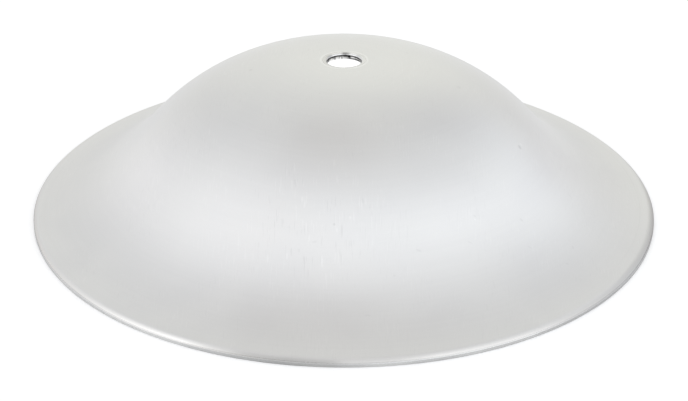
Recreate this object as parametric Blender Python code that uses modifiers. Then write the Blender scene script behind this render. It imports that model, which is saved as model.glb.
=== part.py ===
# Bell cymbal: one piece of sheet metal, spun into a domed bell that sweeps out
# into a wide hollow-curved flange, with a hole punched on its axis for the stand.
# Metres, +Z up. The origin is on the axis, in the plane that the rim stands on.
from math import asin, cos, pi, radians, sin

import bpy

# Sheet
SHEET_THICKNESS = 0.0024

# Bell
SEAT_DIAMETER = 0.0220             # flat round the hole, above and below, for the felts
CROWN_RADIUS = 0.0883              # round of the bell, on its outer face
FLANK_ANGLE = radians(46.8)        # steepest slope, where the bell runs into the flange
FLANK_LENGTH = 0.0080              # straight stretch at that slope

# Flange and rim
RIM_DIAMETER = 0.2413
RIM_ANGLE = radians(14.5)          # slope on which the flange comes to its edge
SHOULDER_WIDTH = 0.0023            # rounded-off strip along the top of the edge
SHOULDER_ANGLE = radians(50.0)     # slope where the shoulder meets the upright edge face
LAND_WIDTH = 0.0010                # strip dressed flat under the edge

# Hole
HOLE_DIAMETER = 0.0132
HOLE_ROLL_WIDTH = 0.0017           # rounding that the punch draws in, seen from above
HOLE_ROLL_DEPTH = 0.0007
HOLE_DEBURR = 0.0003               # chamfer on the lower edge

# Facets
TURN_STEPS = 96
CROWN_STEPS = 10
SWEEP_STEPS = 7
SHOULDER_STEPS = 3
HOLE_ROLL_STEPS = 5
SHARP_EDGE_ANGLE = radians(30.0)
MERGE_DISTANCE = 0.00001

# Finish: pale aluminium, satin
METAL_COLOUR = (0.80, 0.80, 0.79, 1.0)
METAL_ROUGHNESS = 0.36


def clear_scene():
    for old in list(bpy.data.objects):
        bpy.data.objects.remove(old, do_unlink=True)


def slope_arc(centre, radius, first_slope, last_slope, steps):
    """Points of an arc between two slopes. A negative radius makes a hollow arc."""
    centre_r, centre_z = centre
    points = []
    for step in range(steps + 1):
        slope = first_slope + (last_slope - first_slope) * step / steps
        points.append((centre_r + radius * sin(slope), centre_z + radius * cos(slope)))
    return points


def sweep_arc():
    """Centre and radius of the hollow arc that carries the flank out to the rim.

    It leaves the flank at FLANK_ANGLE, ends at the shoulder on RIM_ANGLE, and stands
    so high that the underside reaches the ground plane where the land begins.
    """
    shoulder_r = RIM_DIAMETER / 2 - SHOULDER_WIDTH
    flank_end_r = (SEAT_DIAMETER / 2 + CROWN_RADIUS * sin(FLANK_ANGLE)
                   + FLANK_LENGTH * cos(FLANK_ANGLE))
    radius = (shoulder_r - flank_end_r) / (sin(FLANK_ANGLE) - sin(RIM_ANGLE))
    centre_r = flank_end_r + radius * sin(FLANK_ANGLE)
    under_radius = radius + SHEET_THICKNESS
    land_r = RIM_DIAMETER / 2 - LAND_WIDTH
    land_slope = asin((centre_r - land_r) / under_radius)
    return (centre_r, under_radius * cos(land_slope)), radius, land_slope


def crown_arc():
    """Centre of the bell's round arc, which ends on the straight flank."""
    (_, sweep_z), sweep_radius, _ = sweep_arc()
    flank_end_z = sweep_z - sweep_radius * cos(FLANK_ANGLE)
    flank_start_z = flank_end_z + FLANK_LENGTH * sin(FLANK_ANGLE)
    return SEAT_DIAMETER / 2, flank_start_z - CROWN_RADIUS * cos(FLANK_ANGLE)


def hole_roll(seat_z):
    """Quarter ellipse from the wall of the hole up and out to the seat."""
    points = []
    for step in range(HOLE_ROLL_STEPS + 1):
        turn = pi / 2 * step / HOLE_ROLL_STEPS
        radius = HOLE_DIAMETER / 2 + HOLE_ROLL_WIDTH * (1 - cos(turn))
        points.append((radius, seat_z - HOLE_ROLL_DEPTH * (1 - sin(turn))))
    return points


def top_face(crown_centre, sweep_centre, sweep_radius):
    """Section of the outer face, from the seat to the foot of the edge."""
    shoulder_radius = SHOULDER_WIDTH / (sin(SHOULDER_ANGLE) - sin(RIM_ANGLE))
    reach = sweep_radius + shoulder_radius
    shoulder_centre = (sweep_centre[0] - reach * sin(RIM_ANGLE),
                       sweep_centre[1] - reach * cos(RIM_ANGLE))
    crown = slope_arc(crown_centre, CROWN_RADIUS, 0.0, FLANK_ANGLE, CROWN_STEPS)
    sweep = slope_arc(sweep_centre, -sweep_radius, FLANK_ANGLE, RIM_ANGLE, SWEEP_STEPS)
    shoulder = slope_arc(shoulder_centre, shoulder_radius, RIM_ANGLE, SHOULDER_ANGLE,
                         SHOULDER_STEPS)
    return crown + sweep + shoulder[1:] + [(RIM_DIAMETER / 2, 0.0)]


def under_face(crown_centre, sweep_centre, sweep_radius, land_slope):
    """Section of the underside, one sheet thickness in, from the land to the seat."""
    sweep = slope_arc(sweep_centre, -(sweep_radius + SHEET_THICKNESS), land_slope,
                      FLANK_ANGLE, SWEEP_STEPS)
    crown = slope_arc(crown_centre, CROWN_RADIUS - SHEET_THICKNESS, FLANK_ANGLE, 0.0,
                      CROWN_STEPS)
    return sweep + crown


def section():
    """Closed section at +X: down the outer face, in along the underside, up the hole."""
    sweep_centre, sweep_radius, land_slope = sweep_arc()
    crown_centre = crown_arc()
    seat_z = crown_centre[1] + CROWN_RADIUS
    under_seat_z = seat_z - SHEET_THICKNESS
    hole_r = HOLE_DIAMETER / 2
    hole_foot = [(hole_r + HOLE_DEBURR, under_seat_z), (hole_r, under_seat_z + HOLE_DEBURR)]
    return (hole_roll(seat_z)
            + top_face(crown_centre, sweep_centre, sweep_radius)
            + under_face(crown_centre, sweep_centre, sweep_radius, land_slope)
            + hole_foot)


def turned_object(name, points):
    """Turn a closed section round the Z axis and shade it smooth but for real edges."""
    outline = bpy.data.meshes.new(name + "_section")
    corners = [(radius, 0.0, height) for radius, height in points]
    sides = [(i, (i + 1) % len(corners)) for i in range(len(corners))]
    outline.from_pydata(corners, sides, [])
    turned = bpy.data.objects.new(name, outline)
    bpy.context.scene.collection.objects.link(turned)
    screw = turned.modifiers.new("turn", "SCREW")
    screw.axis = "Z"
    screw.angle = 2 * pi
    screw.steps = TURN_STEPS
    screw.render_steps = TURN_STEPS
    screw.use_merge_vertices = True
    screw.merge_threshold = MERGE_DISTANCE
    depsgraph = bpy.context.evaluated_depsgraph_get()
    mesh = bpy.data.meshes.new_from_object(turned.evaluated_get(depsgraph))
    turned.modifiers.clear()
    turned.data = mesh
    bpy.data.meshes.remove(outline)
    mesh.name = name
    mesh.shade_smooth()
    mesh.set_sharp_from_angle(angle=SHARP_EDGE_ANGLE)
    return turned


def satin_aluminium():
    material = bpy.data.materials.new("satin_aluminium")
    material.use_nodes = True
    shader = material.node_tree.nodes["Principled BSDF"]
    shader.inputs["Base Color"].default_value = METAL_COLOUR
    shader.inputs["Metallic"].default_value = 1.0
    shader.inputs["Roughness"].default_value = METAL_ROUGHNESS
    return material


def build():
    clear_scene()
    collection = bpy.data.collections.new("bell_cymbal")
    bpy.context.scene.collection.children.link(collection)
    cymbal = turned_object("cymbal_shell", section())
    cymbal.data.materials.append(satin_aluminium())
    bpy.context.scene.collection.objects.unlink(cymbal)
    collection.objects.link(cymbal)
    print("height over the seat: %.2f mm" % (cymbal.dimensions.z * 1000))


build()
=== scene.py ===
from math import asin, cos, pi, radians, sin, tan

import bpy
from mathutils import Matrix, Vector


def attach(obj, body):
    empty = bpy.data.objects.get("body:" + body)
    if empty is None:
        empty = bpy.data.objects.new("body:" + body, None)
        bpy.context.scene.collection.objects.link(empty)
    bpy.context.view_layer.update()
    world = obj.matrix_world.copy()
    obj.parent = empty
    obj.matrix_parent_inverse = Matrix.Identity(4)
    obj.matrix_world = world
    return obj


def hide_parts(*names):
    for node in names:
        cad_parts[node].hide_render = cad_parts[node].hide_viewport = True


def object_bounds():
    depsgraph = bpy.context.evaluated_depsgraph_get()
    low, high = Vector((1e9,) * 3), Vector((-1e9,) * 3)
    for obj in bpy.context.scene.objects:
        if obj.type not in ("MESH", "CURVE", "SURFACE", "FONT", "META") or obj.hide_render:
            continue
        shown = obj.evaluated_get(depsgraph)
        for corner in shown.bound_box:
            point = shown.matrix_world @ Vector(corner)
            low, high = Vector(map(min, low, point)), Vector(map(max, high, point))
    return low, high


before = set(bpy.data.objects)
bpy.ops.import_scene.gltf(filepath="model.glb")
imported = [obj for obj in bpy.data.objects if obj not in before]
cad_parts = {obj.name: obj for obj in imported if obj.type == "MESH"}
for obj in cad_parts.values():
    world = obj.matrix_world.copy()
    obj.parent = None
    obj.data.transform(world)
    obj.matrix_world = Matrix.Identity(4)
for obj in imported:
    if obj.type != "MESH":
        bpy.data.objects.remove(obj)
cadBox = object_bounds()
print("frame loaded:", ", ".join(sorted(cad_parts)))


def addNode(tree, kind, inputs=None, **settings):
    # a value that is a socket gets linked, anything else becomes the default
    node = tree.nodes.new(kind)
    for name, value in settings.items():
        setattr(node, name, value)
    for key, value in (inputs or {}).items():
        if isinstance(value, bpy.types.NodeSocket):
            tree.links.new(value, node.inputs[key])
        else:
            node.inputs[key].default_value = value
    return node


def calc(tree, operation, *values):
    return addNode(tree, "ShaderNodeMath", dict(enumerate(values)), operation=operation).outputs[0]


def ramp(tree, value, low, high, smooth=True):
    # 0 below low, 1 above high; low may be the larger of the two
    node = addNode(tree, "ShaderNodeMapRange", {"Value": value, "From Min": low, "From Max": high},
                   interpolation_type="SMOOTHSTEP" if smooth else "LINEAR")
    return node.outputs["Result"]


def scaled(tree, vector, factor):
    return addNode(tree, "ShaderNodeVectorMath", {"Vector": vector, "Scale": factor},
                   operation="SCALE").outputs[0]


def lengthOf(tree, vector):
    return addNode(tree, "ShaderNodeVectorMath", {0: vector}, operation="LENGTH").outputs["Value"]


brightestStop = 1.3    # a ramp's own colours stop at 1


def stops(tree, value, places):
    # tone that changes along a value from 0 to 1, given at some places on it
    node = addNode(tree, "ShaderNodeValToRGB", {"Fac": value})
    band = node.color_ramp
    band.interpolation = "LINEAR"
    for number, (place, tone) in enumerate(places):
        stop = band.elements[number] if number < 2 else band.elements.new(place)
        stop.position = place
        share = tone / brightestStop
        stop.color = (share, share, share, 1.0)
    return calc(tree, "MULTIPLY", node.outputs[0], brightestStop)


def byAzimuth(tree, turn, table):
    # the same for a table by azimuth in degrees: 0 is the right, -90 the front
    return stops(tree, turn, [(azimuth / 360.0 + 0.5, tone) for azimuth, tone in table])


def newGroup(name, kind, inputs, outputs):
    tree = bpy.data.node_groups.new(name, kind)
    for label, socketType, default in inputs:
        socket = tree.interface.new_socket(label, in_out="INPUT", socket_type=socketType)
        if default is not None:
            socket.default_value = default
    for label, socketType in outputs:
        tree.interface.new_socket(label, in_out="OUTPUT", socket_type=socketType)
    return tree, tree.nodes.new("NodeGroupInput").outputs, tree.nodes.new("NodeGroupOutput").inputs


# the turned section repeats the part's own sizes
shell = {
    "rimDiameter": 0.2413,
    "thickness": 0.0024,
    "seatDiameter": 0.0220,    # flat round the hole, for the felts
    "crownRadius": 0.0883,     # the bell's round, on the outer face
    "flankAngle": 46.8,        # steepest slope, in degrees
    "flankLength": 0.0080,
    "rimAngle": 14.5,          # slope on which the flange reaches the shoulder
    "seatSupport": 0.0002,     # ring beside the lip that keeps the seat's shading flat
    "crownSteps": 40,
    "sweepSteps": 34,
    "flankSteps": 6,
    "underFlankSteps": 4,
    "seatSteps": 3,
    "turnSteps": 320,
}
rimEdge = {
    "shoulderWidth": 0.0023,   # rounded strip along the top of the edge
    "shoulderAngle": 50.0,     # slope where it meets the upright face
    "landWidth": 0.0010,       # flat strip under the edge
    "topRound": 0.00035,
    "footRound": 0.00025,
    "landRound": 0.00015,
    "shoulderSteps": 14,
    "faceSteps": 4,
    "landSteps": 3,
}
rodHole = {
    "diameter": 0.0132,
    "rollWidth": 0.0017,       # metal drawn in by the punch, seen from above
    "rollDepth": 0.0007,
    "deburr": 0.0003,
    "deburrRound": 0.00008,
    "rollSteps": 16,
    "wallSteps": 5,
}
topFinish, underFinish, edgeFinish, wallFinish = 0, 1, 2, 3


def slopeArc(centre, radius, firstSlope, lastSlope, steps):
    # points of an arc between two slopes; a negative radius makes it hollow
    points = []
    for step in range(steps + 1):
        slope = firstSlope + (lastSlope - firstSlope) * step / steps
        points.append(Vector((centre[0] + radius * sin(slope), centre[1] + radius * cos(slope))))
    return points


def between(start, end, steps):
    # points strictly between two others, to carry the shading of a straight stretch
    return [start.lerp(end, step / steps) for step in range(1, steps)]


def rounded(before, corner, after, radius, steps=5):
    toBefore = (before - corner).normalized()
    toAfter = (after - corner).normalized()
    half = toBefore.angle(toAfter) / 2
    centre = corner + (toBefore + toAfter).normalized() * (radius / sin(half))
    spoke = corner + toBefore * (radius / tan(half)) - centre
    swing = -spoke.angle_signed(corner + toAfter * (radius / tan(half)) - centre)
    points = []
    for step in range(steps + 1):
        points.append(centre + Matrix.Rotation(swing * step / steps, 2) @ spoke)
    return points


def sectionPoints():
    flank, rim = radians(shell["flankAngle"]), radians(shell["rimAngle"])
    thickness, crownRadius = shell["thickness"], shell["crownRadius"]
    rimRadius, seatRadius = shell["rimDiameter"] / 2, shell["seatDiameter"] / 2
    holeRadius, shoulderWidth = rodHole["diameter"] / 2, rimEdge["shoulderWidth"]

    # hollow arc of the flange, standing so high that the land lies in the ground plane
    flankEnd = seatRadius + crownRadius * sin(flank) + shell["flankLength"] * cos(flank)
    sweepRadius = (rimRadius - shoulderWidth - flankEnd) / (sin(flank) - sin(rim))
    sweepCentreR = flankEnd + sweepRadius * sin(flank)
    landR = rimRadius - rimEdge["landWidth"]
    landSlope = asin((sweepCentreR - landR) / (sweepRadius + thickness))
    sweepCentre = (sweepCentreR, (sweepRadius + thickness) * cos(landSlope))
    crownZ = (sweepCentre[1] - sweepRadius * cos(flank) + shell["flankLength"] * sin(flank)
              - crownRadius * cos(flank))
    crownCentre = (seatRadius, crownZ)
    seatZ = crownZ + crownRadius
    underSeatZ = seatZ - thickness

    # drawn-in lip of the hole: quarter ellipse from the wall up to the seat
    lip = []
    for step in range(rodHole["rollSteps"] + 1):
        turn = pi / 2 * step / rodHole["rollSteps"]
        lip.append(Vector((holeRadius + rodHole["rollWidth"] * (1 - cos(turn)),
                           seatZ - rodHole["rollDepth"] * (1 - sin(turn)))))

    crown = slopeArc(crownCentre, crownRadius, 0.0, flank, shell["crownSteps"])
    sweep = slopeArc(sweepCentre, -sweepRadius, flank, rim, shell["sweepSteps"])
    shoulderAngle = radians(rimEdge["shoulderAngle"])
    shoulderRadius = shoulderWidth / (sin(shoulderAngle) - sin(rim))
    reach = sweepRadius + shoulderRadius
    shoulder = slopeArc((sweepCentre[0] - reach * sin(rim), sweepCentre[1] - reach * cos(rim)),
                        shoulderRadius, rim, shoulderAngle, rimEdge["shoulderSteps"])
    foot = Vector((rimRadius, 0.0))
    landStart = Vector((landR, 0.0))
    topCorner = rounded(shoulder[-2], shoulder[-1], foot, rimEdge["topRound"])
    footCorner = rounded(shoulder[-1], foot, landStart, rimEdge["footRound"])
    underSweep = slopeArc(sweepCentre, -(sweepRadius + thickness), landSlope, flank,
                          shell["sweepSteps"])
    landCorner = rounded(foot, landStart, underSweep[1], rimEdge["landRound"], steps=2)
    underCrown = slopeArc(crownCentre, crownRadius - thickness, flank, 0.0, shell["crownSteps"])

    underLip = Vector((holeRadius + rodHole["deburr"], underSeatZ))
    wallFoot = Vector((holeRadius, underSeatZ + rodHole["deburr"]))
    underCorner = rounded(underCrown[-1], underLip, wallFoot, rodHole["deburrRound"], steps=3)
    wallCorner = rounded(underLip, wallFoot, lip[0], rodHole["deburrRound"], steps=3)

    seatSupport = lip[-1] + Vector((shell["seatSupport"], 0.0))
    seatSteps = shell["seatSteps"]
    strips = [
        (edgeFinish, lip[:-1]),
        (topFinish, [lip[-1], seatSupport] + between(seatSupport, crown[0], seatSteps)),
        (topFinish, crown + between(crown[-1], sweep[0], shell["flankSteps"]) + sweep[:-1]),
        (topFinish, shoulder[:-1]),
        (edgeFinish, topCorner),
        (edgeFinish, between(topCorner[-1], footCorner[0], rimEdge["faceSteps"]) + footCorner),
        (edgeFinish, between(footCorner[-1], landCorner[0], rimEdge["landSteps"])),
        (edgeFinish, landCorner[:-1]),
        (underFinish, landCorner[-1:] + underSweep[1:]),
        (underFinish, between(underSweep[-1], underCrown[0], shell["underFlankSteps"])),
        (underFinish, underCrown + between(underCrown[-1], underCorner[0], seatSteps)),
        (wallFinish, underCorner + wallCorner),
        (wallFinish, between(wallCorner[-1], lip[0], rodHole["wallSteps"])),
    ]
    return [(point, finish) for finish, points in strips for point in points]


def sectionMesh():
    # closed outline in the XZ plane, each point marked with the finish of the side after it
    points = sectionPoints()
    count = len(points)
    mesh = bpy.data.meshes.new("bellSection")
    mesh.from_pydata([(p.x, 0.0, p.y) for p, finish in points],
                     [(i, (i + 1) % count) for i in range(count)], [])
    marks = mesh.attributes.new("finish", "INT", "POINT")
    for i, (point, finish) in enumerate(points):
        marks.data[i].value = finish
    return mesh


def turnTree():
    # a grid of section points by turns, each column laid on the section and swung round Z
    tree, given, result = newGroup("turnedShell", "GeometryNodeTree", [
        ("Section", "NodeSocketGeometry", None),
        ("Turn Steps", "NodeSocketInt", 320),
        ("Join Distance", "NodeSocketFloat", 0.000002),
        ("Top Material", "NodeSocketMaterial", None),
        ("Under Material", "NodeSocketMaterial", None),
        ("Edge Material", "NodeSocketMaterial", None),
        ("Wall Material", "NodeSocketMaterial", None),
    ], [("Geometry", "NodeSocketGeometry")])
    steps = given["Turn Steps"]
    count = addNode(tree, "GeometryNodeAttributeDomainSize",
                    {"Geometry": given["Section"]}).outputs["Point Count"]
    columns = calc(tree, "ADD", count, 1.0)
    rows = calc(tree, "ADD", steps, 1.0)
    grid = addNode(tree, "GeometryNodeMeshGrid", {"Vertices X": columns, "Vertices Y": rows})
    index = addNode(tree, "GeometryNodeInputIndex").outputs[0]

    column = calc(tree, "FLOOR", calc(tree, "DIVIDE", calc(tree, "ADD", index, 0.5), rows))
    row = calc(tree, "SUBTRACT", index, calc(tree, "MULTIPLY", column, rows))
    onSection = addNode(tree, "GeometryNodeSampleIndex", {
        "Geometry": given["Section"],
        "Value": addNode(tree, "GeometryNodeInputPosition").outputs[0],
        "Index": calc(tree, "MODULO", column, count),
    }, data_type="FLOAT_VECTOR", domain="POINT").outputs["Value"]
    swung = addNode(tree, "ShaderNodeVectorRotate", {
        "Vector": onSection,
        "Angle": calc(tree, "DIVIDE", calc(tree, "MULTIPLY", row, 2 * pi), steps),
    }, rotation_type="Z_AXIS").outputs[0]
    shape = addNode(tree, "GeometryNodeSetPosition", {
        "Geometry": grid.outputs["Mesh"], "Position": swung}).outputs[0]

    strip = calc(tree, "FLOOR", calc(tree, "DIVIDE", calc(tree, "ADD", index, 0.5), steps))
    named = addNode(tree, "GeometryNodeInputNamedAttribute", {"Name": "finish"}, data_type="INT")
    mark = addNode(tree, "GeometryNodeSampleIndex", {
        "Geometry": given["Section"],
        "Value": named.outputs["Attribute"],
        "Index": strip,
    }, data_type="INT", domain="POINT").outputs["Value"]
    shape = addNode(tree, "GeometryNodeStoreNamedAttribute", {
        "Geometry": shape, "Name": "faceFinish", "Value": mark},
        data_type="INT", domain="FACE").outputs[0]
    shape = addNode(tree, "GeometryNodeMergeByDistance", {
        "Geometry": shape, "Distance": given["Join Distance"]}).outputs[0]
    shape = addNode(tree, "GeometryNodeSetShadeSmooth", {"Geometry": shape}).outputs[0]
    shape = addNode(tree, "GeometryNodeRealizeInstances", {"Geometry": shape}).outputs[0]
    shape = addNode(tree, "GeometryNodeSetMaterial", {
        "Geometry": shape, "Material": given["Top Material"]}).outputs[0]
    stored = addNode(tree, "GeometryNodeInputNamedAttribute", {"Name": "faceFinish"},
                     data_type="INT").outputs["Attribute"]
    for finish, label in ((underFinish, "Under Material"), (edgeFinish, "Edge Material"),
                          (wallFinish, "Wall Material")):
        same = addNode(tree, "FunctionNodeCompare", {2: stored, 3: finish},
                       data_type="INT", operation="EQUAL").outputs[0]
        shape = addNode(tree, "GeometryNodeSetMaterial", {
            "Geometry": shape, "Selection": same, "Material": given[label]}).outputs[0]
    tree.links.new(shape, result["Geometry"])
    return tree


def turnShell(name, materials):
    blank = bpy.data.objects.new(name + "Blank", sectionMesh())
    bpy.context.scene.collection.objects.link(blank)
    turn = blank.modifiers.new("turn", "NODES")
    turn.node_group = turnTree()
    values = {"Turn Steps": shell["turnSteps"], "Top Material": materials[topFinish],
              "Under Material": materials[underFinish], "Edge Material": materials[edgeFinish],
              "Wall Material": materials[wallFinish]}
    for item in turn.node_group.interface.items_tree:
        if item.in_out == "INPUT" and item.name in values:
            turn[item.identifier] = values[item.name]
    depsgraph = bpy.context.evaluated_depsgraph_get()
    mesh = bpy.data.meshes.new_from_object(blank.evaluated_get(depsgraph))
    mesh.name = name
    mesh.attributes.remove(mesh.attributes["faceFinish"])
    if mesh.materials[0] is None:
        mesh.materials.pop(index=0)    # the grid's own empty slot
    bpy.data.objects.remove(blank, do_unlink=True)
    piece = bpy.data.objects.new(name, mesh)
    bpy.context.scene.collection.objects.link(piece)
    return piece


def grainGroup():
    # even satin grain, as left by fine blasting or etching; 0 to 1 around 0.5
    tree, given, result = newGroup("satinGrain", "ShaderNodeTree", [
        ("Place", "NodeSocketVector", None),
        ("Grain Size", "NodeSocketFloat", 0.0003),
    ], [("Grain", "NodeSocketFloat")])
    perMetre = calc(tree, "DIVIDE", 1.0, given["Grain Size"])
    fine = addNode(tree, "ShaderNodeTexNoise", {
        "Vector": given["Place"], "Scale": perMetre, "Detail": 2.0, "Roughness": 0.55}).outputs[0]
    coarse = addNode(tree, "ShaderNodeTexNoise", {
        "Vector": given["Place"], "Scale": calc(tree, "MULTIPLY", perMetre, 0.31),
        "Detail": 1.0}).outputs[0]
    both = calc(tree, "MULTIPLY_ADD", coarse, 0.4, calc(tree, "MULTIPLY", fine, 0.6))
    tree.links.new(ramp(tree, both, 0.28, 0.72, smooth=False), result["Grain"])
    return tree


def strokeGroup():
    # short strokes of the sheet's rolling grain, all along Y, in loose clusters
    tree, given, result = newGroup("rollingStrokes", "ShaderNodeTree", [
        ("Place", "NodeSocketVector", None),
        ("Width", "NodeSocketFloat", 0.00035),
        ("Length", "NodeSocketFloat", 0.004),
        ("Share", "NodeSocketFloat", 0.4),
        ("Seed", "NodeSocketFloat", 0.0),
    ], [("Strokes", "NodeSocketFloat")])
    parts = addNode(tree, "ShaderNodeSeparateXYZ", {0: given["Place"]}).outputs
    laid = addNode(tree, "ShaderNodeCombineXYZ", {
        0: calc(tree, "DIVIDE", parts["X"], given["Width"]),
        1: calc(tree, "DIVIDE", parts["Y"], given["Length"]),
        2: given["Seed"]}).outputs[0]
    lines = addNode(tree, "ShaderNodeTexNoise", {
        "Vector": laid, "Scale": 1.0, "Detail": 1.0, "Roughness": 0.4}).outputs[0]
    fromShare = calc(tree, "SUBTRACT", 0.80, calc(tree, "MULTIPLY", given["Share"], 0.25))
    strong = ramp(tree, lines, calc(tree, "SUBTRACT", fromShare, 0.12), fromShare)
    flat = addNode(tree, "ShaderNodeCombineXYZ", {
        0: parts["X"], 1: parts["Y"], 2: given["Seed"]}).outputs[0]
    clustersPerMetre = 55.0
    clusters = addNode(tree, "ShaderNodeTexNoise", {
        "Vector": flat, "Scale": clustersPerMetre, "Detail": 1.0}).outputs[0]
    shown = calc(tree, "MULTIPLY", strong, ramp(tree, clusters, 0.42, 0.62))
    tree.links.new(shown, result["Strokes"])
    return tree


def pitGroup():
    # small pits, each at a random place and size, in only a share of the cells
    tree, given, result = newGroup("pits", "ShaderNodeTree", [
        ("Place", "NodeSocketVector", None),
        ("Spacing", "NodeSocketFloat", 0.009),
        ("Radius", "NodeSocketFloat", 0.0004),
        ("Share", "NodeSocketFloat", 0.4),
    ], [("Pits", "NodeSocketFloat")])
    cells = addNode(tree, "ShaderNodeTexVoronoi", {
        "Vector": given["Place"], "Scale": calc(tree, "DIVIDE", 1.0, given["Spacing"])})
    chance = addNode(tree, "ShaderNodeSeparateColor", {0: cells.outputs["Color"]}).outputs
    size = calc(tree, "MULTIPLY", calc(tree, "DIVIDE", given["Radius"], given["Spacing"]),
                calc(tree, "MULTIPLY_ADD", chance[1], 0.7, 0.5))
    dot = ramp(tree, cells.outputs["Distance"], size, calc(tree, "MULTIPLY", size, 0.35))
    chosen = calc(tree, "LESS_THAN", chance[0], given["Share"])
    tree.links.new(calc(tree, "MULTIPLY", dot, chosen), result["Pits"])
    return tree


def stationGroup():
    # where a point stands: its distance from the axis and its share of a turn, from -X
    tree, given, result = newGroup("roundTheAxis", "ShaderNodeTree", [
        ("Place", "NodeSocketVector", None),
    ], [("Radius", "NodeSocketFloat"), ("Turn", "NodeSocketFloat"),
        ("Outward", "NodeSocketVector")])
    parts = addNode(tree, "ShaderNodeSeparateXYZ", {0: given["Place"]}).outputs
    flat = addNode(tree, "ShaderNodeCombineXYZ", {0: parts["X"], 1: parts["Y"]}).outputs[0]
    turn = calc(tree, "ARCTAN2", parts["Y"], parts["X"])
    tree.links.new(lengthOf(tree, flat), result["Radius"])
    tree.links.new(calc(tree, "MULTIPLY_ADD", turn, 0.5 / pi, 0.5), result["Turn"])
    outward = addNode(tree, "ShaderNodeVectorMath", {0: flat}, operation="NORMALIZE").outputs[0]
    tree.links.new(outward, result["Outward"])
    return tree


def turnedGroup():
    # fine lines round the axis, from the spinning lathe and the edge tool
    tree, given, result = newGroup("turnedLines", "ShaderNodeTree", [
        ("Radius", "NodeSocketFloat", 0.1),
        ("Outward", "NodeSocketVector", None),
        ("Pitch", "NodeSocketFloat", 0.0008),
        ("Drift", "NodeSocketFloat", 1.5),
        ("Sharpness", "NodeSocketFloat", 0.6),
    ], [("Lines", "NodeSocketFloat")])
    across = addNode(tree, "ShaderNodeCombineXYZ", {
        2: calc(tree, "DIVIDE", given["Radius"], given["Pitch"])}).outputs[0]
    path = addNode(tree, "ShaderNodeVectorMath", {
        0: scaled(tree, given["Outward"], given["Drift"]), 1: across}, operation="ADD").outputs[0]
    lines = addNode(tree, "ShaderNodeTexNoise", {
        "Vector": path, "Scale": 1.0, "Detail": 3.0, "Roughness": given["Sharpness"]}).outputs[0]
    tree.links.new(ramp(tree, lines, 0.3, 0.7, smooth=False), result["Lines"])
    return tree


def handlingGroup():
    # broad, faint clouds where the piece has been wiped and handled; 0 to 1
    tree, given, result = newGroup("handling", "ShaderNodeTree", [
        ("Place", "NodeSocketVector", None),
        ("Cloud Size", "NodeSocketFloat", 0.03),
    ], [("Clouds", "NodeSocketFloat")])
    clouds = addNode(tree, "ShaderNodeTexNoise", {
        "Vector": given["Place"], "Scale": calc(tree, "DIVIDE", 1.0, given["Cloud Size"]),
        "Detail": 3.0, "Roughness": 0.5, "Distortion": 0.4}).outputs[0]
    tree.links.new(ramp(tree, clouds, 0.3, 0.7), result["Clouds"])
    return tree


def ringWearAndSheenGroup():
    # 1 on a ring at the given radius, fading over its width, a little uneven
    tree, given, result = newGroup("ringWearAndSheen", "ShaderNodeTree", [
        ("Place", "NodeSocketVector", None),
        ("Radius", "NodeSocketFloat", 0.1),
        ("Ring Radius", "NodeSocketFloat", 0.12),
        ("Width", "NodeSocketFloat", 0.002),
        ("Unevenness", "NodeSocketFloat", 0.5),
    ], [("Wear And Sheen", "NodeSocketFloat")])
    away = calc(tree, "ABSOLUTE", calc(tree, "SUBTRACT", given["Radius"], given["Ring Radius"]))
    patchesPerMetre = 90.0
    patches = addNode(tree, "ShaderNodeTexNoise", {
        "Vector": given["Place"], "Scale": patchesPerMetre, "Detail": 2.0}).outputs[0]
    reach = calc(tree, "MULTIPLY", given["Width"], calc(
        tree, "MULTIPLY_ADD", calc(tree, "SUBTRACT", patches, 0.5), given["Unevenness"], 1.0))
    tree.links.new(ramp(tree, away, reach, 0.0), result["Wear And Sheen"])
    return tree


def markGroup():
    # one small oval mark, as seen from above: 1 inside it, fading to 0 at its reach
    tree, given, result = newGroup("smallMark", "ShaderNodeTree", [
        ("Place", "NodeSocketVector", None),
        ("Centre", "NodeSocketVector", None),
        ("Reach", "NodeSocketVector", None),
    ], [("Mark", "NodeSocketFloat")])
    away = addNode(tree, "ShaderNodeVectorMath", {0: given["Place"], 1: given["Centre"]},
                   operation="SUBTRACT").outputs[0]
    share = addNode(tree, "ShaderNodeVectorMath", {0: away, 1: given["Reach"]},
                    operation="DIVIDE").outputs[0]
    tree.links.new(ramp(tree, lengthOf(tree, share), 1.0, 0.35), result["Mark"])
    return tree


groups = {
    "grain": grainGroup(), "strokes": strokeGroup(), "pits": pitGroup(),
    "station": stationGroup(), "turned": turnedGroup(), "handling": handlingGroup(),
    "wearAndSheen": ringWearAndSheenGroup(), "mark": markGroup(),
}


def useGroup(tree, name, **values):
    node = tree.nodes.new("ShaderNodeGroup")
    node.node_tree = groups[name]
    for label, value in values.items():
        socket = node.inputs[label.replace("_", " ")]
        if isinstance(value, bpy.types.NodeSocket):
            tree.links.new(value, socket)
        else:
            socket.default_value = value
    return node.outputs


def startMetal(name):
    material = bpy.data.materials.new(name)
    material.use_nodes = True
    tree = material.node_tree
    place = addNode(tree, "ShaderNodeTexCoord").outputs["Object"]
    bsdf = tree.nodes["Principled BSDF"]
    bsdf.inputs["Metallic"].default_value = 1.0
    return material, tree, place, bsdf


def weigh(tree, start, *terms):
    # start + amount * (value - middle) + ...
    total = start
    for value, amount, middle in terms:
        swing = calc(tree, "MULTIPLY_ADD", value, amount, -amount * middle)
        total = calc(tree, "ADD", swing, total)
    return total


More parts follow.
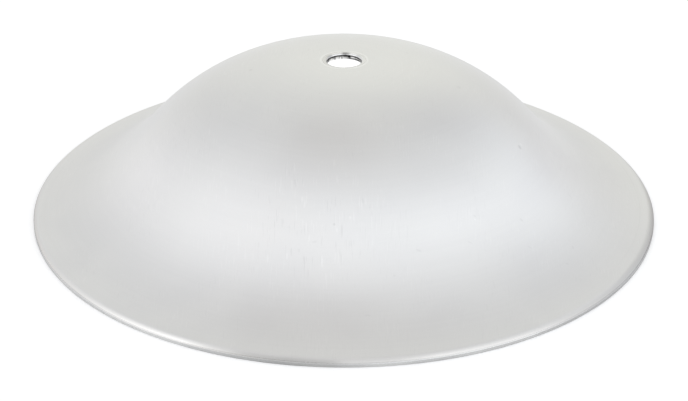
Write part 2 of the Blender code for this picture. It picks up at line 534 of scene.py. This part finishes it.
def paint(tree, bsdf, light, dark, blend, tone, shoulderTint=None, shoulderTintShare=0.0):
    # the colour swings between two close shades of the metal and is scaled by the tone
    shade = addNode(tree, "ShaderNodeMix", {0: blend, 6: (*dark, 1.0), 7: (*light, 1.0)},
                    data_type="RGBA").outputs[2]
    if shoulderTint:
        shade = addNode(tree, "ShaderNodeMix", {
            0: shoulderTintShare, 6: shade, 7: (*shoulderTint, 1.0)}, data_type="RGBA").outputs[2]
    tree.links.new(scaled(tree, shade, tone), bsdf.inputs["Base Color"])


def emboss(tree, bsdf, height, depth):
    bump = addNode(tree, "ShaderNodeBump", {"Height": height, "Strength": 1.0, "Distance": depth})
    tree.links.new(bump.outputs[0], bsdf.inputs["Normal"])


# The tone tables from here to stopLineShare were typed one by one, most of them against numeric
# readings of the photograph's tone over the shell, along the rim and pixel by pixel round the
# hole. They paint highlights in as that one view shows them.
# painted highlight and shade on the rounded shoulder, by azimuth
rimPaintedLight = [
    (-180, 0.92), (-170, 0.83), (-160, 0.82), (-150, 0.90), (-140, 1.02), (-128, 1.18),
    (-117, 1.28), (-111, 0.96), (-105, 0.66), (-98, 0.57), (-93, 0.63), (-90.6, 0.72),
    (-89.8, 0.82), (-82, 0.87), (-75, 1.10), (-60, 1.08), (-50, 0.85), (-38, 0.69),
    (-30, 0.67), (-12, 0.66), (2, 0.75), (12, 0.90), (25, 0.97), (90, 1.0), (180, 0.92),
]
# how far in that painted highlight and shade reaches, as a share of the shoulder's width
rimPaintedLightReach = [
    (-180, 0.78), (-48, 0.78), (-38, 0.9), (-28, 1.25), (-8, 1.28), (2, 1.05), (12, 0.85),
    (25, 0.78), (180, 0.78),
]
# painted highlight and shade on the upright face of the rim, by azimuth
facePaintedLight = [
    (-180, 0.84), (-165, 0.88), (-150, 1.10), (-138, 1.20), (-122, 1.27), (-112, 1.08),
    (-107, 0.96), (-103, 0.86), (-97, 0.80), (-93, 0.84), (-90.6, 0.90), (-89.8, 1.04),
    (-84, 1.12), (-70, 1.10), (-57, 1.12), (-48, 1.0), (-30, 0.94), (-15, 0.80), (2, 0.92),
    (12, 1.0), (90, 1.0), (180, 0.84),
]
# painted highlight and shade on the lip of the hole, by azimuth
lipPaintedLight = [
    (-180, 1.0), (-90, 1.0), (-30, 1.14), (20, 1.20), (46, 1.05), (51, 1.3), (69, 1.3),
    (77, 0.88), (85, 0.58), (92, 0.64), (100, 1.3), (128, 1.3), (134, 1.0), (145, 0.86),
    (160, 1.0), (180, 1.0),
]
# painted glint and shade on the hole's sheared wall, by azimuth, over most of its height and at its
# foot
wallPaintedLight = [
    (-180, 0.4), (-90, 0.7), (0, 0.35), (20, 0.3), (28, 0.4), (35, 0.6), (45, 0.8), (52, 0.95),
    (57, 1.25), (64, 1.3), (68, 0.5), (71, 0.1), (76, 0.05), (79, 0.3), (84, 0.3), (90, 0.35),
    (94, 0.75), (122, 0.75), (129, 0.5), (138, 0.65), (150, 0.5), (158, 0.2), (180, 0.4),
]
footPaintedLight = [
    (-180, 0.4), (-90, 0.7), (0, 0.4), (25, 0.3), (35, 0.1), (46, 0.1), (58, 0.25), (70, 0.25),
    (76, 0.4), (82, 0.75), (92, 0.9), (100, 1.15), (140, 1.15), (150, 0.8), (160, 0.4), (180, 0.4),
]
# painted light and shade in rings round the axis, a little brighter or duller, by radius in metres
paintedRingLight = [
    (0.0, 1.0), (0.040, 1.0), (0.052, 0.985), (0.064, 0.985), (0.072, 1.0), (0.079, 1.022),
    (0.086, 1.035), (0.091, 1.03), (0.098, 1.005), (0.106, 0.995), (0.118, 1.0),
]
# how plainly the blanking line shows inside the rim
stopLineShare = [
    (-180, 0.1), (-45, 0.1), (-20, 0.5), (0, 1.0), (20, 0.9), (45, 0.3), (90, 0.3), (180, 0.1),
]

# single dents, nicks and rubbed spots on the outer face, in millimetres:
# x, y, reach along x, reach along y, and how much brighter the metal is there.
# The shape has no dents or nicks: their dark spots are painted shade, and the lit side of the
# deepest dent is a painted highlight.
# The places weren't chosen by hand: one program found the marks in the photograph, another
# cast them onto the surface, and the results are rounded to 0.1 mm.
smallMarks = [
    (64.8, -27.9, 0.9, 1.1, -0.14), (65.5, -25.7, 0.7, 0.6, 0.06),    # deepest dent, lit side
    (-3.2, -76.7, 0.6, 0.45, -0.10), (-0.6, -78.3, 0.45, 2.3, -0.07),
    (42.7, -11.0, 1.1, 1.5, -0.04), (-35.3, -2.0, 0.8, 1.2, -0.07),
    (63.3, -57.0, 0.9, 0.7, -0.06), (82.3, -57.5, 0.55, 1.0, -0.05),
    (25.7, -80.5, 1.4, 0.4, -0.06), (-9.9, -80.6, 1.3, 0.4, -0.045),
    (45.8, -64.9, 0.6, 0.4, -0.06), (45.9, -65.9, 0.6, 0.35, 0.05),
    (79.3, -66.5, 0.8, 0.6, -0.045), (-15.2, -82.2, 0.5, 0.7, -0.045),
    (6.6, -70.6, 0.45, 1.1, -0.05), (8.0, -102.3, 1.5, 0.35, -0.04),
    (17.3, -88.9, 0.7, 0.5, -0.04), (43.8, -73.3, 1.2, 0.3, -0.055),
    (65.7, -65.8, 1.3, 0.35, -0.045), (-7.3, -85.8, 0.5, 2.2, 0.05),
    (-19.3, -83.2, 0.5, 1.4, 0.05), (-14.3, -69.4, 0.5, 1.1, 0.05),
    (-2.3, -78.1, 0.5, 0.8, 0.05), (-25.9, -82.9, 0.4, 1.5, 0.05), (2.2, -75.1, 0.5, 0.6, 0.05),
]

topLook = {
    "light": (0.81, 0.81, 0.80), "dark": (0.79, 0.79, 0.785),
    "roughness": 0.42,
    "grainSize": 0.00022, "grainTone": 0.024, "grainRough": 0.05,
    "strokeWidth": 0.0005, "strokeLength": 0.0052, "strokeTone": 0.07, "strokeRough": 0.05,
    "lightShare": 0.38, "darkShare": 0.28, "darkLength": 0.8, "darkSeed": 7.3,
    "scuffPlace": (-0.014, -0.079, 0.03), "scuffReach": 0.032, "scuffCore": 0.01,
    "scuffTone": 0.012, "strokesElsewhere": 0.30,
    "pitSpacing": 0.010, "pitRadius": 0.00042, "pitShare": 0.16, "pitTone": -0.10, "pitRough": 0.15,
    "linePitch": 0.0011, "lineDrift": 1.8, "lineTone": 0.012,
    "cloudSize": 0.035, "cloudRough": 0.04,
    "shoulderRough": -0.16, "shoulderColour": (0.82, 0.81, 0.785),
    "shoulderEnd": 0.12, "burnishStart": 0.6,    # in from the rim, in shoulder widths
    # a painted shade line just inside the rim's outer edge
    "rimShadeLineWidth": 0.0005, "rimShadeLineEnd": 0.0001, "rimShadeLineTone": -0.25,
    # a painted highlight ring on the seat round the hole
    "lipSheenRadius": 0.0089, "lipSheenWidth": 0.0006, "lipSheenTone": 0.09,
    "stopLineInset": 0.0055, "stopLineWidth": 0.00035, "stopLineUneven": 2.5,
    "stopLineTone": -0.035,
    "depth": 0.0000016,                          # of the grain, and what stands out more or less
    "strokeHeight": 0.8, "pitHeight": -6.0, "lineHeight": 0.8,
}


def satinTop():
    look = topLook
    material, tree, place, bsdf = startMetal("satinTop")
    station = useGroup(tree, "station", Place=place)
    radius = station["Radius"]
    grain = useGroup(tree, "grain", Place=place, Grain_Size=look["grainSize"])["Grain"]
    light = useGroup(tree, "strokes", Place=place, Width=look["strokeWidth"],
                     Length=look["strokeLength"], Share=look["lightShare"])["Strokes"]
    dark = useGroup(tree, "strokes", Place=place, Width=look["strokeWidth"],
                    Length=look["strokeLength"] * look["darkLength"], Share=look["darkShare"],
                    Seed=look["darkSeed"])["Strokes"]
    fromScuff = addNode(tree, "ShaderNodeVectorMath", {0: place, 1: look["scuffPlace"]},
                        operation="DISTANCE").outputs["Value"]
    scuffed = ramp(tree, fromScuff, look["scuffReach"], look["scuffCore"])
    scuffed = calc(tree, "MULTIPLY_ADD", scuffed, 1.0 - look["strokesElsewhere"],
                   look["strokesElsewhere"])
    light = calc(tree, "MULTIPLY", light, scuffed)
    dark = calc(tree, "MULTIPLY", dark, scuffed)
    pits = useGroup(tree, "pits", Place=place, Spacing=look["pitSpacing"],
                    Radius=look["pitRadius"], Share=look["pitShare"])["Pits"]
    lines = useGroup(tree, "turned", Radius=radius, Outward=station["Outward"],
                     Pitch=look["linePitch"], Drift=look["lineDrift"])["Lines"]
    clouds = useGroup(tree, "handling", Place=place, Cloud_Size=look["cloudSize"])["Clouds"]
    rimRadius, shoulderWidth = shell["rimDiameter"] / 2, rimEdge["shoulderWidth"]
    # painted highlight and shade on the rim's shoulder, by azimuth, and how far in it reaches
    reach = byAzimuth(tree, station["Turn"], rimPaintedLightReach)
    inner = calc(tree, "MULTIPLY_ADD", reach, -shoulderWidth, rimRadius)
    shoulder = ramp(tree, radius, inner, rimRadius - shoulderWidth * look["shoulderEnd"])
    paintedLight = byAzimuth(tree, station["Turn"], rimPaintedLight)
    # painted shade along the rim's outer edge
    rimShadeLine = ramp(tree, radius, rimRadius - look["rimShadeLineWidth"],
                    rimRadius - look["rimShadeLineEnd"])
    # painted highlight ring round the hole
    lipSheen = useGroup(tree, "wearAndSheen", Place=place, Radius=radius, Width=look["lipSheenWidth"],
                       Ring_Radius=look["lipSheenRadius"])["Wear And Sheen"]
    stopLine = useGroup(tree, "wearAndSheen", Place=place, Radius=radius, Width=look["stopLineWidth"],
                        Unevenness=look["stopLineUneven"],
                        Ring_Radius=rimRadius - look["stopLineInset"])["Wear And Sheen"]
    stopLine = calc(tree, "MULTIPLY", stopLine, byAzimuth(tree, station["Turn"], stopLineShare))
    tone = weigh(tree, 1.0, (grain, look["grainTone"], 0.5), (light, look["strokeTone"], 0.0),
                 (dark, -look["strokeTone"], 0.0), (pits, look["pitTone"], 0.0),
                 (scuffed, look["scuffTone"], 0.5), (lines, look["lineTone"], 0.5),
                 (stopLine, look["stopLineTone"], 0.0), (lipSheen, look["lipSheenTone"], 0.0),
                 (rimShadeLine, look["rimShadeLineTone"], 0.0))
    # painted shade for dents and nicks, lighter for rubbed spots and the deepest dent's painted
    # highlight
    for *oval, brighter in smallMarks:
        x, y, reachX, reachY = (millimetres / 1000 for millimetres in oval)
        mark = useGroup(tree, "mark", Place=place, Centre=(x, y, 0.0),
                        Reach=(reachX, reachY, 1.0))["Mark"]
        tone = calc(tree, "MULTIPLY_ADD", mark, brighter, tone)
    # painted light and shade in rings round the axis
    rings = stops(tree, calc(tree, "DIVIDE", radius, rimRadius),
                  [(ringRadius / rimRadius, ringTone) for ringRadius, ringTone in paintedRingLight])
    tone = calc(tree, "MULTIPLY", tone, rings)
    # the shoulder's tone is scaled by its painted highlight and shade
    onEdge = calc(tree, "MULTIPLY_ADD", shoulder, calc(tree, "SUBTRACT", paintedLight, 1.0), 1.0)
    paint(tree, bsdf, look["light"], look["dark"], clouds, calc(tree, "MULTIPLY", tone, onEdge),
          look["shoulderColour"], shoulder)
    burnished = ramp(tree, radius, rimRadius - shoulderWidth * look["burnishStart"], rimRadius)
    rough = weigh(tree, look["roughness"], (grain, look["grainRough"], 0.5),
                  (clouds, look["cloudRough"], 0.5), (pits, look["pitRough"], 0.0),
                  (light, -look["strokeRough"], 0.0), (dark, look["strokeRough"], 0.0),
                  (burnished, look["shoulderRough"], 0.0))
    tree.links.new(rough, bsdf.inputs["Roughness"])
    height = weigh(tree, 0.0, (grain, 1.0, 0.5), (light, look["strokeHeight"], 0.0),
                   (dark, -look["strokeHeight"], 0.0), (pits, look["pitHeight"], 0.0),
                   (lines, look["lineHeight"], 0.5))
    emboss(tree, bsdf, height, look["depth"])
    return material


underLook = {
    "light": (0.74, 0.74, 0.73), "dark": (0.69, 0.69, 0.68),
    "roughness": 0.40,
    "grainSize": 0.00025, "grainTone": 0.03, "grainRough": 0.04,
    "linePitch": 0.0009, "lineDrift": 0.9, "lineTone": 0.10, "lineRough": 0.10,
    "pitSpacing": 0.014, "pitRadius": 0.0005, "pitShare": 0.3, "pitTone": -0.15,
    "strokeWidth": 0.0004, "strokeLength": 0.006, "strokeShare": 0.4, "strokeSeed": 3.1,
    "strokeTone": 0.04,
    "cloudSize": 0.045, "cloudRough": 0.08,
    "depth": 0.000006, "grainHeight": 0.25, "pitHeight": -1.5,
}


def spunUnderside():
    look = underLook
    material, tree, place, bsdf = startMetal("spunUnderside")
    station = useGroup(tree, "station", Place=place)
    grain = useGroup(tree, "grain", Place=place, Grain_Size=look["grainSize"])["Grain"]
    lines = useGroup(tree, "turned", Radius=station["Radius"], Outward=station["Outward"],
                     Pitch=look["linePitch"], Drift=look["lineDrift"])["Lines"]
    pits = useGroup(tree, "pits", Place=place, Spacing=look["pitSpacing"],
                    Radius=look["pitRadius"], Share=look["pitShare"])["Pits"]
    clouds = useGroup(tree, "handling", Place=place, Cloud_Size=look["cloudSize"])["Clouds"]
    strokes = useGroup(tree, "strokes", Place=place, Width=look["strokeWidth"],
                       Length=look["strokeLength"], Share=look["strokeShare"],
                       Seed=look["strokeSeed"])["Strokes"]
    tone = weigh(tree, 1.0, (grain, look["grainTone"], 0.5), (lines, look["lineTone"], 0.5),
                 (pits, look["pitTone"], 0.0), (strokes, look["strokeTone"], 0.0))
    paint(tree, bsdf, look["light"], look["dark"], clouds, tone)
    rough = weigh(tree, look["roughness"], (grain, look["grainRough"], 0.5),
                  (lines, look["lineRough"], 0.5), (clouds, look["cloudRough"], 0.5))
    tree.links.new(rough, bsdf.inputs["Roughness"])
    height = weigh(tree, 0.0, (lines, 1.0, 0.5), (grain, look["grainHeight"], 0.5),
                   (pits, look["pitHeight"], 0.0))
    emboss(tree, bsdf, height, look["depth"])
    return material


edgeLook = {
    "light": (0.76, 0.76, 0.75), "dark": (0.68, 0.68, 0.675),
    "roughness": 0.27,
    "grainSize": 0.0002, "grainTone": 0.03, "grainRough": 0.04,
    "linePitch": 0.00035, "lineDrift": 2.4, "lineTone": 0.07, "lineRough": 0.08,
    "nickSpacing": 0.0045, "nickRadius": 0.00045, "nickShare": 0.25, "nickTone": -0.20,
    "nickRough": 0.15,
    "cloudSize": 0.02, "cloudRough": -0.05,
    # the lip's tone set below is its painted highlight and shade, not a colour of its own
    "lipPaintedLightEnd": 0.25,        # where the lip's own tone is full, as a share of the roll's width
    "depth": 0.000003, "grainHeight": 0.3, "nickHeight": -6.0,
}


def turnedEdge():
    look = edgeLook
    material, tree, place, bsdf = startMetal("turnedEdge")
    station = useGroup(tree, "station", Place=place)
    radius = station["Radius"]
    level = addNode(tree, "ShaderNodeSeparateXYZ", {0: place}).outputs["Z"]
    along = calc(tree, "ADD", radius, level)    # steps over the face as well as across it
    grain = useGroup(tree, "grain", Place=place, Grain_Size=look["grainSize"])["Grain"]
    lines = useGroup(tree, "turned", Radius=along, Outward=station["Outward"],
                     Pitch=look["linePitch"], Drift=look["lineDrift"])["Lines"]
    isRim = calc(tree, "GREATER_THAN", radius, shell["rimDiameter"] / 4)
    nicks = useGroup(tree, "pits", Place=place, Spacing=look["nickSpacing"],
                     Radius=look["nickRadius"], Share=look["nickShare"])["Pits"]
    nicks = calc(tree, "MULTIPLY", nicks, isRim)    # the lip of the hole has none
    clouds = useGroup(tree, "handling", Place=place, Cloud_Size=look["cloudSize"])["Clouds"]
    # painted highlight and shade by azimuth, on the rim's face and on the hole's lip
    rim = byAzimuth(tree, station["Turn"], facePaintedLight)
    lip = byAzimuth(tree, station["Turn"], lipPaintedLight)
    holeRadius, rollWidth = rodHole["diameter"] / 2, rodHole["rollWidth"]
    lipReach = ramp(tree, radius, holeRadius + rollWidth,
                    holeRadius + rollWidth * look["lipPaintedLightEnd"])
    lip = calc(tree, "MULTIPLY_ADD", lipReach, calc(tree, "SUBTRACT", lip, 1.0), 1.0)
    paintedLight = addNode(tree, "ShaderNodeMix", {0: isRim, 2: lip, 3: rim}).outputs[0]
    tone = weigh(tree, 1.0, (grain, look["grainTone"], 0.5), (lines, look["lineTone"], 0.5),
                 (nicks, look["nickTone"], 0.0))
    paint(tree, bsdf, look["light"], look["dark"], clouds, calc(tree, "MULTIPLY", tone, paintedLight))
    rough = weigh(tree, look["roughness"], (grain, look["grainRough"], 0.5),
                  (lines, look["lineRough"], 0.5), (nicks, look["nickRough"], 0.0),
                  (clouds, look["cloudRough"], 0.5))
    tree.links.new(rough, bsdf.inputs["Roughness"])
    height = weigh(tree, 0.0, (lines, 1.0, 0.5), (grain, look["grainHeight"], 0.5),
                   (nicks, look["nickHeight"], 0.0))
    emboss(tree, bsdf, height, look["depth"])
    return material


wallLook = {
    "bright": (0.84, 0.84, 0.83), "torn": (0.34, 0.34, 0.34),
    "roughness": 0.16, "tornRough": 0.30, "tornFrom": 0.48, "tornFull": 0.58,
    "grainSize": 0.00015, "grainTone": 0.08, "grainRough": 0.05, "grainHeight": 0.1,
    "markWidth": 0.0007, "markUpright": 0.35, "depth": 0.00005,
    # painted shade line where the wall turns into the lip: how far down it reaches, its full part's
    # share
    "lineHeight": 0.0008, "lineFull": 0.4, "lineTone": -0.88,
    # strip above the lower corner that carries the foot's painted glint and shade, the same
    "footHeight": 0.0006, "footFull": 0.6,
}
wallTop = cadBox[1][2] - rodHole["rollDepth"]
wallFoot = cadBox[1][2] - shell["thickness"] + rodHole["deburr"]


def punchedWall():
    # sheared wall of the hole: bright where the punch rubbed it, dark where the metal tore
    look = wallLook
    material, tree, place, bsdf = startMetal("punchedWall")
    station = useGroup(tree, "station", Place=place)
    level = addNode(tree, "ShaderNodeSeparateXYZ", {0: place}).outputs["Z"]
    across = addNode(tree, "ShaderNodeCombineXYZ", {
        2: calc(tree, "MULTIPLY", level, look["markUpright"] / look["markWidth"])}).outputs[0]
    onWall = addNode(tree, "ShaderNodeVectorMath", {
        0: scaled(tree, station["Outward"], rodHole["diameter"] / 2 / look["markWidth"]),
        1: across}, operation="ADD").outputs[0]
    marks = addNode(tree, "ShaderNodeTexNoise", {
        "Vector": onWall, "Scale": 1.0, "Detail": 3.0, "Roughness": 0.6}).outputs[0]
    grain = useGroup(tree, "grain", Place=place, Grain_Size=look["grainSize"])["Grain"]
    torn = ramp(tree, marks, look["tornFrom"], look["tornFull"])
    lineHeight, footHeight = look["lineHeight"], look["footHeight"]
    # painted shade line along the top of the wall
    line = ramp(tree, level, wallTop - lineHeight, wallTop - lineHeight * look["lineFull"])
    # painted glint and shade by azimuth, over the wall and at its foot
    above = byAzimuth(tree, station["Turn"], wallPaintedLight)
    below = byAzimuth(tree, station["Turn"], footPaintedLight)
    atFoot = ramp(tree, level, wallFoot + footHeight, wallFoot + footHeight * look["footFull"])
    paintedLight = addNode(tree, "ShaderNodeMix", {0: atFoot, 2: above, 3: below}).outputs[0]
    tone = weigh(tree, 1.0, (grain, look["grainTone"], 0.5), (line, look["lineTone"], 0.0))
    paint(tree, bsdf, look["torn"], look["bright"], torn, calc(tree, "MULTIPLY", tone, paintedLight))
    rough = weigh(tree, look["roughness"], (torn, look["tornRough"], 0.0),
                  (grain, look["grainRough"], 0.5))
    tree.links.new(rough, bsdf.inputs["Roughness"])
    height = weigh(tree, 0.0, (marks, 1.0, 0.5), (grain, look["grainHeight"], 0.5))
    emboss(tree, bsdf, height, look["depth"])
    return material


materials = {topFinish: satinTop(), underFinish: spunUnderside(), edgeFinish: turnedEdge(),
             wallFinish: punchedWall()}
print("finishes mixed:", ", ".join(m.name for m in materials.values()))

bell = turnShell("bellShell", materials)
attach(bell, "root")
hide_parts("cymbal_shell")
print("shell turned:", len(bell.data.polygons), "faces")


pureWhite = (1.0, 1.0, 1.0, 1.0)
# All but cameraGap came from a solver that fitted the light to the photograph's tones: the base
# and the panels' colours, and the first nine directions and spreads, rounded to a degree.
# The directions and spreads of the three panels after those were chosen.
tent = {
    "base": (0.672, 0.675, 0.690),    # the cloth's light, everywhere
    # and what is added round a direction: azimuth, elevation and spread in degrees, and colour;
    # azimuth turns from the right over the back to the left, a negative colour is a dark flag
    "panels": {
        "front": (-94, 42, 48, (0.420, 0.438, 0.455)),
        "right": (-15, 16, 29, (0.589, 0.612, 0.642)),
        "rightBack": (34, 22, 17, (0.393, 0.437, 0.477)),
        "left": (-172, 31, 27, (0.392, 0.393, 0.405)),
        "leftBackLow": (146, 5, 16, (0.48, 0.46, 0.465)),
        "back": (78, 28, 34, (0.337, 0.34, 0.261)),
        "backLow": (107, 5, 16, (0.086, 0.077, 0.06)),
        "overhead": (115, 82, 16, (-0.264, -0.302, -0.334)),
        "rightBackFlag": (49, 41, 16, (-0.264, -0.274, -0.239)),
        "frontLeftLow": (-125, 25, 25, (0.089, 0.056, 0.02)),
        "frontRightLow": (-55, 25, 25, (0.217, 0.227, 0.24)),
        "rightBackLow": (45, 8, 20, (-0.202, -0.235, -0.223)),
        "cameraGap": (-90, 16, 16, (-0.40, -0.40, -0.40)),
    },
}
whiteFloor = {
    "albedo": 0.80,
    "glow": 0.30,          # what the camera sees on top of the lit floor, so that it is white
    "metalFrom": 0.14, "metalFull": 0.50,    # where the metal starts to see that glow too
    "underGlow": 0.42,     # light given inside the bell, so that its underside shows from below
    "size": 6.0,
    "depth": -0.00002,
}


def direction(azimuth, elevation):
    a, e = radians(azimuth), radians(elevation)
    return Vector((cos(e) * cos(a), cos(e) * sin(a), sin(e)))


def lightTent(base, panels):
    world = bpy.data.worlds.new("lightTent")
    world.use_nodes = True
    tree = world.node_tree
    tree.nodes.clear()
    sky = addNode(tree, "ShaderNodeTexCoord").outputs["Generated"]
    looking = addNode(tree, "ShaderNodeVectorMath", {0: sky}, operation="NORMALIZE").outputs[0]
    total = addNode(tree, "ShaderNodeRGB")
    total.outputs[0].default_value = (*base, 1.0)
    total = total.outputs[0]
    for azimuth, elevation, spread, colour in panels.values():
        aim = direction(azimuth, elevation)
        facing = addNode(tree, "ShaderNodeVectorMath", {0: looking, 1: aim},
                         operation="DOT_PRODUCT").outputs["Value"]
        tightness = 1.0 / (1.0 - cos(radians(spread)))
        falloff = calc(tree, "EXPONENT", calc(tree, "MULTIPLY_ADD", facing, tightness, -tightness))
        total = addNode(tree, "ShaderNodeVectorMath", {
            0: falloff, 1: colour, 2: total}, operation="MULTIPLY_ADD").outputs[0]
    fabric = addNode(tree, "ShaderNodeBackground", {"Color": total, "Strength": 1.0}).outputs[0]
    white = addNode(tree, "ShaderNodeBackground", {"Color": pureWhite, "Strength": 1.0}).outputs[0]
    path = addNode(tree, "ShaderNodeLightPath").outputs
    seen = calc(tree, "MAXIMUM", path["Is Camera Ray"], path["Is Transmission Ray"])
    both = addNode(tree, "ShaderNodeMixShader", {0: seen, 1: fabric, 2: white}).outputs[0]
    addNode(tree, "ShaderNodeOutputWorld", {"Surface": both})
    return world


def startPaper(name):
    material = bpy.data.materials.new(name)
    material.use_nodes = True
    tree = material.node_tree
    tree.nodes.clear()
    place = addNode(tree, "ShaderNodeTexCoord").outputs["Object"]
    flat = addNode(tree, "ShaderNodeVectorMath", {0: place, 1: (1.0, 1.0, 0.0)},
                   operation="MULTIPLY").outputs[0]
    fromAxis = lengthOf(tree, flat)
    return material, tree, fromAxis, addNode(tree, "ShaderNodeLightPath").outputs


def finishPaper(tree, shade, strength, cutAway=0.0):
    # matt paper with a glow on top, clear from below and where it is cut away
    paper = addNode(tree, "ShaderNodeBsdfDiffuse", {"Color": (shade, shade, shade, 1.0)}).outputs[0]
    glow = addNode(tree, "ShaderNodeEmission", {"Color": pureWhite, "Strength": strength}).outputs[0]
    lit = addNode(tree, "ShaderNodeAddShader", {0: paper, 1: glow}).outputs[0]
    fromBelow = addNode(tree, "ShaderNodeNewGeometry").outputs["Backfacing"]
    unseen = calc(tree, "MAXIMUM", fromBelow, cutAway)
    clear = addNode(tree, "ShaderNodeBsdfTransparent").outputs[0]
    both = addNode(tree, "ShaderNodeMixShader", {0: unseen, 1: lit, 2: clear}).outputs[0]
    addNode(tree, "ShaderNodeOutputMaterial", {"Surface": both})


def layPaper(name, corners, material):
    mesh = bpy.data.meshes.new(name)
    mesh.from_pydata(corners, [], [tuple(range(len(corners)))])
    mesh.materials.append(material)
    paper = bpy.data.objects.new(name, mesh)
    bpy.context.scene.collection.objects.link(paper)


def makeFloor():
    material, tree, fromAxis, path = startPaper("whiteGround")
    glow = whiteFloor["glow"]
    toCamera = calc(tree, "MULTIPLY", path["Is Camera Ray"], glow)
    away = ramp(tree, fromAxis, whiteFloor["metalFrom"], whiteFloor["metalFull"])
    toMetal = calc(tree, "MULTIPLY", calc(tree, "MULTIPLY", away, glow), path["Is Glossy Ray"])
    inside = calc(tree, "LESS_THAN", fromAxis, shell["rimDiameter"] / 2 - 2 * rimEdge["landWidth"])
    toCavity = calc(tree, "MULTIPLY", inside, whiteFloor["underGlow"])
    strength = calc(tree, "ADD", calc(tree, "ADD", toCamera, toMetal), toCavity)
    finishPaper(tree, whiteFloor["albedo"], strength)
    half, depth = whiteFloor["size"] / 2, whiteFloor["depth"]
    layPaper("studioFloor", [(-half, -half, depth), (half, -half, depth), (half, half, depth),
                             (-half, half, depth)], material)


holeCard = {
    "height": 0.0505,
    "radius": 0.040,
    "shade": 0.25,         # how much light it throws back
    "inMetal": 0.75,       # how brightly the metal round the hole shows it
    "clearFrom": 0.026,    # from here out to its edge the card thins away to nothing
    "corners": 48,
}


def makeHoleCard():
    # a photographer's white card inside the bell, so that the hole shows white
    material, tree, fromAxis, path = startPaper("whiteCard")
    strength = calc(tree, "MULTIPLY_ADD", path["Is Glossy Ray"], holeCard["inMetal"],
                    path["Is Camera Ray"])
    radius, height, corners = holeCard["radius"], holeCard["height"], holeCard["corners"]
    thin = ramp(tree, fromAxis, holeCard["clearFrom"], radius)
    finishPaper(tree, holeCard["shade"], strength, thin)
    around = [2 * pi * corner / corners for corner in range(corners)]
    layPaper("holeCard", [(radius * cos(a), radius * sin(a), height) for a in around], material)


bpy.context.scene.world = lightTent(tent["base"], tent["panels"])
makeFloor()
makeHoleCard()
print("floor and tent in place")

# fitted to the outline in the photograph
view = {
    "place": (0.00026, -0.53617, 0.27647),
    "pitch": 27.377,           # degrees below the horizon
    "swing": 0.020,            # degrees to the left of +Y
    "roll": 0.152,
    "lens": 79.80,
}


def makeCamera():
    data = bpy.data.cameras.new("photoView")
    data.lens = view["lens"]
    data.sensor_width = 36.0
    data.clip_start, data.clip_end = 0.01, 20.0
    camera = bpy.data.objects.new("photoView", data)
    camera.matrix_world = (Matrix.Translation(view["place"])
                           @ Matrix.Rotation(radians(view["swing"]), 4, "Z")
                           @ Matrix.Rotation(radians(90.0 - view["pitch"]), 4, "X")
                           @ Matrix.Rotation(radians(view["roll"]), 4, "Z"))
    bpy.context.scene.collection.objects.link(camera)
    bpy.context.scene.camera = camera


makeCamera()
bpy.context.scene.view_settings.view_transform = "Standard"
